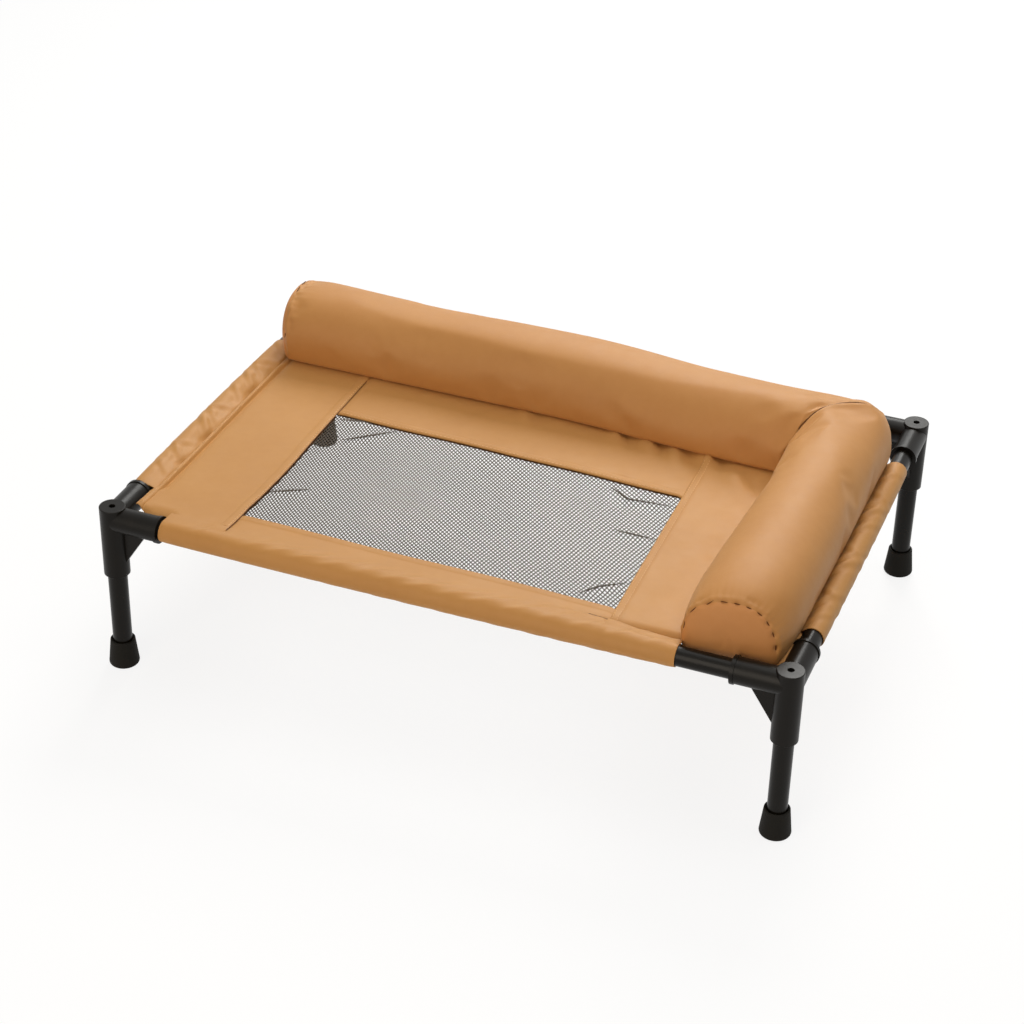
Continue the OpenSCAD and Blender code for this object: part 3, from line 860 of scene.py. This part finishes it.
def stitch_row(name, path, stations, size, finish):
    """Stitches of one size on a path: a coordinate along it, its points and the cloth's normals."""
    run, points, normals = path
    copies = []
    for at in stations:
        behind, place, ahead, up = (
            np.array([np.interp(s, run, line[:, k]) for k in range(3)])
            for s, line in ((at - 2, points), (at, points), (at + 2, points), (at, normals))
        )
        along = Vector(ahead - behind).normalized()
        across = Vector(up).cross(along).normalized()
        turn = Matrix((along, across, along.cross(across))).transposed() @ Matrix.Diagonal(size)
        copy = stitch.copy()
        copy.data = stitch.data.copy()
        copy.matrix_world = Matrix.Translation(place * MM) @ (turn * MM).to_4x4()
        bpy.context.collection.objects.link(copy)
        copies.append(copy)
    bpy.ops.object.select_all(action="DESELECT")
    for copy in copies:
        copy.select_set(True)
    row = bpy.context.view_layer.objects.active = copies[0]
    bpy.ops.object.join()
    bpy.ops.object.transform_apply(location=True, rotation=True, scale=True)
    row.name = name
    row.data.materials.append(finish)
    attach(row, "cot_frame")
    print(f"{name}: {len(copies)} stitches")


def sling_path(run, x, y, z):
    """A path of stitches on the sling, where the cloth's normals point up."""
    return run, np.stack([x, y, z], axis=1), np.tile((0.0, 0.0, 1.0), (len(run), 1))


def hem_path(window, inside, start, end, back_off, along_x):
    """A line at a distance back from a window's edge, on the folded cloth."""
    run = np.linspace(start, end, 80)
    edge = window(run) - inside * back_off
    x, y = (run, edge) if along_x else (edge, run)
    lift = np.interp(back_off, *np.array(FOLD[7::-1]).T)
    return sling_path(run, x, y, sling_height(x, y) + lift + 0.1)


# %% Stitches on the sling, and dark rows that paint the shade of the lap and the crease
LAP_SHADE_DASH, CREASE_SHADE_DASH, HEM_STITCH = (6.5, 0.9, 0.7), (6, 1.1, 0.8), (3.0, 0.8, 0.55)
# Close dark stitches along the left panel's lap paint the shadow gap under its edge
y = np.linspace(-220, 96, 120)
path = sling_path(y, window_left(y) + 0.4, y, sling_height(window_left(y), y) + 0.4)
stations = np.arange(-218, 94, 5.0)
stitch_row("left_lap_painted_shade", path, stations, LAP_SHADE_DASH, seam_thread_and_painted_shade)
# Close dark stitches in the front crease paint its shade
x, y = np.linspace(140, 234, 60), np.full(60, SEAM - HALF_Y + 0.6)
path = sling_path(x, x, y, sling_height(x, y) + 0.5)
stations = np.arange(144, 232, 4.0)
stitch_row("front_crease_painted_shade", path, stations, CREASE_SHADE_DASH, seam_thread_and_painted_shade)
for name, path in {
    "left_hem_stitches": hem_path(window_left, 1, -212, 92, 2.2, False),
    "right_hem_stitches": hem_path(window_right, -1, -212, 84, 2.2, False),
    "right_hem_second_stitches": hem_path(window_right, -1, -212, 84, 7.2, False),
    "rear_hem_stitches": hem_path(window_rear, -1, -214, 154, 2.4, True),
    "front_hem_stitches": hem_path(window_front, 1, -214, 154, 2.4, True),
}.items():
    stations = np.arange(path[0][0] + 2, path[0][-1] - 2, 4.2)
    stitch_row(name, path, stations, HEM_STITCH, hem_thread)

# %% [markdown]
# ## The bolsters
#
# Two rolls of stuffed cloth meet in a mitre at the rear right corner, and each outer end is closed
# by a D-shaped cap. Sewing pattern first: the two tubes and the caps are joined along their seams
# into one closed skin. Then the filling: a cloth simulation blows the skin up while the seams and
# the sole stay where they are sewn, and cloth cut a little long gathers along the seams by itself.

# %% Sections of the rolls
# Height of the soles, ends of the rolls and their middle lines
SOLE_Z = SLING_Z + 0.3
END_X, END_Y = -316.5, -212.5
MID_X, MID_Y = 279.6, 135.0
# A section's reach to each side, its height, and faces round it
INNER, OUTER, HIGH, AROUND = 50, 49.5, 63, 76
# Bend of the rear roll, and start of the round corner
REAR_BEND, CORNER = 13.9, 7.0


def rear_fullness(from_cap):
    """The rear roll: reach and squareness inwards and outwards, height, and sag of the sole."""
    seam = np.exp(-from_cap / 6)
    height = HIGH + 3.4 * (1 - ease(20, 120, from_cap)) - 1.5 * bell(from_cap, 165, 50)
    height = height - 5 * bell(from_cap, 440, 85) * (1 - ease(540, 590, from_cap))
    height = height - 2.4 * (1 - ease(0, 30, from_cap))
    inner = INNER - 2 * seam - 2.5 * ease(430, 560, from_cap)
    return inner, 1 - ease(250, 560, from_cap), OUTER - 3 * seam, 1.0, height, 0.0


def side_fullness(from_cap):
    """The side roll, drawn down to its cap: the same six values."""
    inner = np.interp(from_cap, (0, 12, 40, 67, 260, 345), (50.4, 52.5, 55, 55.4, 46.5, 47.5))
    outer, outer_square = OUTER - 12 * np.exp(-from_cap / 17), 1 - np.exp(-from_cap / 30)
    height, sag = HIGH - 14 * np.exp(-from_cap / 20), 11 * np.exp(-from_cap / 14)
    return inner, 0.8 * np.exp(-from_cap / 22), outer, outer_square, height, sag


def half_outline(waist, power):
    """Half a D-shaped section of unit reach and height, from the middle of its sole to its top."""
    side, arch = np.linspace(0, 1, 14)[1:], np.linspace(0, math.pi / 2, 40)[1:]
    flank = 0.93 + 0.07 * np.sin(side * math.pi / 2)
    across = np.concatenate([[0, 0.93], flank, np.cos(arch) ** power])
    up = np.concatenate([[0, 0], waist * side, waist + (1 - waist) * np.sin(arch) ** power])
    run = np.concatenate([[0], np.cumsum(np.hypot(np.diff(across * INNER), np.diff(up * HIGH)))])
    return run / run[-1], across, up, run[-1]


SQUARE, ROUND = half_outline(0.32, 0.85), half_outline(0.06, 0.96)
GIRTH = 2 * SQUARE[3]


def section(t, fullness):
    """Place (outwards, up) on a section at share t of its girth, from the middle of the sole."""
    inner, inner_square, outer, outer_square, height, sag = fullness
    half = 1 - np.abs(1 - 2 * t)
    square = np.where(t < 0.5, outer_square, inner_square)
    across, up = (
        square * np.interp(half, SQUARE[0], squared) + (1 - square) * np.interp(half, ROUND[0], rounded)
        for squared, rounded in zip(SQUARE[1:3], ROUND[1:3])
    )
    return across * np.where(t < 0.5, outer, -inner), up * height - sag * (1 - up) ** 2


def ring_places(length):
    """Shares of a roll's length at which it has a ring, close together by the seams."""
    near = np.array([0, 1.4, 3.0, 5.0, 7.6, 11.0, 15.5])
    far = np.linspace(21, length - 21, int((length - 42) / 5.5))
    return np.concatenate([near, far, length - near[::-1]]) / length


def drawn_in(x, y):
    """Rounds the outer corner of the mitre, which the filling doesn't reach."""
    u, v = np.maximum(x - MID_X - CORNER, 0), np.maximum(y - MID_Y - CORNER, 0)
    share = 1 - np.maximum(u, v) / np.maximum(np.hypot(u, v), 1e-6)
    return x - share * u, y - share * v


# %% Sewing pattern of the rolls
def roll_pattern(name, fullness, start, middle, length, skew, along_x, finish):
    """One roll as a tube of cloth from its cap, which is sewn in a little askew, to the mitre."""
    places = ring_places(length)

    def where(s, t):
        share = np.interp(s, np.linspace(0, 1, len(places)), places)
        out, high = section(t, fullness(share * length))
        first = start + skew[0] * out + skew[1] * high
        run = first + (start + length + out - first) * share
        bend = REAR_BEND * (1 - ease(300, 580, share * length))
        line = drawn_in(run, middle + bend + out) if along_x else drawn_in(middle + out, run)
        return (*line, SOLE_Z + high)

    return cut_cloth(name, len(places) - 1, AROUND, length, GIRTH, where, finish)


def cap_pattern(name, fullness, start, middle, skew, crown, along_x, finish):
    """A D-shaped disc that closes a roll's outer end."""
    def where(s, t):
        out, high = section(t, fullness(0.0))
        inner, _, outer, _, height, _ = fullness(0.0)
        waist, centre = 0.36 * height, (outer - inner) / 2
        out, high = centre + (out - centre) * s, waist + s * (high - waist)
        run = start + skew[0] * out + skew[1] * high - crown * np.sqrt(1 - s**3)
        line = (run, middle + out) if along_x else (middle + out, run)
        return (*line, SOLE_Z + high)

    return cut_cloth(name, 14, AROUND, 45, GIRTH, where, finish)


# Lean of each cap outwards and upwards, and its bulge
REAR_SKEW, SIDE_SKEW = (-0.07, -0.05), (0.07, 0.0)
REAR_CROWN, SIDE_CROWN = 9.5, 4.5
REAR_MID = MID_Y + REAR_BEND
rear, side = (rear_fullness, END_X), (side_fullness, END_Y)
pattern = [
    roll_pattern("rear_bolster_roll", *rear, MID_Y, MID_X - END_X, REAR_SKEW, True, roll_cloth),
    roll_pattern("side_bolster_roll", *side, MID_X, MID_Y - END_Y, SIDE_SKEW, False, roll_cloth.copy()),
    cap_pattern("rear_bolster_end", *rear, REAR_MID, REAR_SKEW, REAR_CROWN, True, cap_cloth),
    cap_pattern("side_bolster_end", *side, MID_X, SIDE_SKEW, SIDE_CROWN, False, cap_cloth.copy()),
]
names = {piece.data.materials[0].name: piece.name for piece in pattern}
select_only(pattern[0])
for piece in pattern:
    piece.select_set(True)
bpy.ops.object.join()
rolls = bpy.context.object
sew, face_out = bpy.ops.mesh.remove_doubles, bpy.ops.mesh.normals_make_consistent
edit(rolls, (sew, {"threshold": 0.0002}), (face_out, {"inside": False}))
print(f"sewn skin: {len(rolls.data.vertices)} points, ends at x {END_X:.1f} and y {END_Y:.1f}")

# %% Fill the rolls
def seam_ways(points):
    """Distances from the seams: rear cap, side cap and mitre. On a cap its own is below 0."""
    x, y, high = points[:, 0], points[:, 1], points[:, 2] - SOLE_Z
    to_rear = x - END_X - REAR_SKEW[0] * (y - MID_Y - REAR_BEND) - REAR_SKEW[1] * high
    to_side = y - END_Y - SIDE_SKEW[0] * (x - MID_X) - SIDE_SKEW[1] * high
    to_rear, to_side = to_rear + 1e3 * (y < MID_Y - 60), to_side + 1e3 * (x < MID_X - 60)
    return to_rear, to_side, ((x - MID_X) - (y - MID_Y)) / math.sqrt(2)


def swell(piece, most, frames):
    """Blows the skin up with its seams and sole held, and caps how far a point may go."""
    start = points_of(piece)
    nearest = np.abs(seam_ways(start)).min(axis=0)
    held = np.flatnonzero((start[:, 2] < SOLE_Z + 0.5) | (nearest < 0.3))
    group = piece.vertex_groups.new(name="sewn")
    group.add(held.tolist(), 1.0, "REPLACE")
    select_only(piece)
    bpy.ops.object.modifier_add(type="CLOTH")
    cloth = piece.modifiers["Cloth"]
    for setting, value in {
        "quality": 7, "mass": 0.25, "tension_stiffness": 18, "compression_stiffness": 18,
        "bending_stiffness": 8.0, "vertex_group_mass": "sewn", "use_pressure": True,
        "uniform_pressure_force": 4, "shrink_min": -0.003,
    }.items():
        setattr(cloth.settings, setting, value)
    cloth.settings.effector_weights.gravity = 0
    for number in range(1, frames + 1):
        bpy.context.scene.frame_set(number)
    bpy.ops.object.modifier_apply(modifier="Cloth")
    bpy.context.scene.frame_set(1)
    moved = points_of(piece) - start
    far = np.linalg.norm(moved, axis=1)
    moved *= np.minimum(1, most / np.maximum(far, 1e-6))[:, None]
    move_points(piece, start + moved)
    return far


far = swell(rolls, 3, 20)
print(f"points moved by up to {far.max():.1f} mm, {np.mean(far):.1f} mm on average")

# %% [markdown]
# ## Seams of the rolls
#
# A seam pulls two plump pieces of cloth down to a hard line. At the caps the line is a row of
# short dark dimples, because the filling pushes out between the stitches; the dark stitch in each
# dimple is partly thread and partly painted shade. At the mitre it is a shallow groove with a thin
# dark thread, which paints the shadow line along the seam, and the spare cloth of the inner corner
# fans out from it in folds. All of it is shaped after the filling, on a finer skin, by moving points
# along their normals.

# %% Tools for the seams
# Length of a dimple, and the circle along which seams are measured
DIMPLE, SEAM_RADIUS, SEAM_MIDDLE = 3.0, 48, 20


def seam_run(points, out):
    """A coordinate in millimetres along a seam, for points this far out from its middle."""
    return SEAM_RADIUS * np.arctan2(points[:, 2] - SOLE_Z - SEAM_MIDDLE, out)


def cap_runs(points):
    """That coordinate along the rear and the side cap's seam."""
    return seam_run(points, points[:, 1] - REAR_MID), seam_run(points, points[:, 0] - MID_X)


def cap_seam(way, run, depth):
    """Height of the cloth about a cap seam: dimples on the line, a lip and puckers behind it."""
    dimples = depth * (0.2 + (0.5 + 0.5 * np.sin(run / DIMPLE)) ** 1.5)
    line = -dimples * bell(way, 0, 1.3) + 0.5 * bell(way, 3.4, 1.8)
    return line + 0.4 * np.sin(run / 1.35) * np.exp(-np.abs(way) / 8) * ease(0.5, 3, way)


# %% Draw the seams in
select_only(rolls)
bpy.ops.object.modifier_add(type="SUBSURF")
rolls.modifiers["Subdivision"].levels = rolls.modifiers["Subdivision"].render_levels = 1
bpy.ops.object.modifier_apply(modifier="Subdivision")
skin, outwards = points_of(rolls), read_vertices(rolls, "normal")
to_rear, to_side, to_mitre = seam_ways(skin)
off_sole = ease(1, 9, skin[:, 2] - SOLE_Z)
rear_run, side_run = cap_runs(skin)
height = cap_seam(to_rear, rear_run, 0.9) * (to_rear < 60) * off_sole
height += cap_seam(to_side, side_run, 2.2) * (to_side < 60) * off_sole
groove = 0.9 * bell(to_mitre, 4.5, 3) - 1.3 * bell(to_mitre, 0, 1.2) - 0.8 * bell(to_mitre, -3, 6)
height += groove * off_sole
# Folds fan out from the inner corner
from_corner = (skin[:, 0] - MID_X + skin[:, 1] - MID_Y) / 2
fan = ease(-48, -40, from_corner) * (1 - ease(-24, -10, from_corner)) * off_sole
slanted = to_mitre - 12 - 0.8 * (from_corner + 42)
height -= 1.4 * bell(to_mitre, 9.5, 3) * fan + 1.0 * bell(slanted, 0, 4) * fan
skin = skin + height[:, None] * outwards
# The mitre bows towards the rear roll
shift = np.interp(from_corner, (-41, -33, -24, -14, -5, 3, 10, 20), (0, 3.6, 7.6, 10, 10.1, 9, 6.6, 4))
shift = shift * bell(to_mitre, 0, 36) * ease(8, 30, skin[:, 2] - SOLE_Z) / math.sqrt(2)
skin = skin + shift[:, None] * np.array((-1.0, 1.0, 0.0))
move_points(rolls, skin)
print(f"seams drawn in by up to {-height.min():.1f} mm")

# %% Stitches of the seams, dark to paint the shade in the dimples and along the mitre
CAP_STITCH_AND_SHADE, MITRE_SHADE_DASH = (13, 0.95, 1.2), (6, 1.0, 1.0)
dimples = DIMPLE * math.pi * (0.5 + 2 * np.arange(-9, 9))
rear_run, side_run = cap_runs(skin)
mitre_run, mitre_places = seam_run(skin, from_corner), np.arange(-20, 160, 2.5)
# The cap rows are thread and painted shade; the close mitre row is a painted shadow line
for name, way, run, lift, stations, size in (
    ("rear_cap_stitches", to_rear, rear_run, 0.6, dimples, CAP_STITCH_AND_SHADE),
    ("side_cap_stitches", to_side, side_run, 0.6, dimples, CAP_STITCH_AND_SHADE),
    ("mitre_stitches", to_mitre, mitre_run, 0.9, mitre_places, MITRE_SHADE_DASH),
):
    ring = np.flatnonzero((np.abs(way) < 0.5) & (skin[:, 2] > SOLE_Z + 7))
    ring = ring[np.argsort(run[ring])]
    stations = stations[(stations > run[ring[0]] + 2) & (stations < run[ring[-1]] - 2)]
    path = run[ring], (skin + lift * outwards)[ring], outwards[ring]
    stitch_row(name, path, stations, size, seam_thread_and_painted_shade)
select_only(stitch)
bpy.ops.object.delete()

# %% Cut the filled skin into its four pieces
edit(rolls, (bpy.ops.mesh.separate, {"type": "MATERIAL"}))
stands_for = {
    "rear_bolster_roll": ("rear_bolster_cover", "rear_bolster_filling"),
    "side_bolster_roll": ("side_bolster_cover", "side_bolster_filling"),
    "rear_bolster_end": ("rear_bolster_cap",),
    "side_bolster_end": ("side_bolster_cap",),
}
for piece in list(bpy.context.selected_objects):
    piece.name = names[piece.data.materials[0].name]
    select_only(piece)
    bpy.ops.object.shade_smooth()
    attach(piece, "cot_frame")
    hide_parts(*stands_for[piece.name])
    print(piece.name, len(piece.data.polygons), "faces")
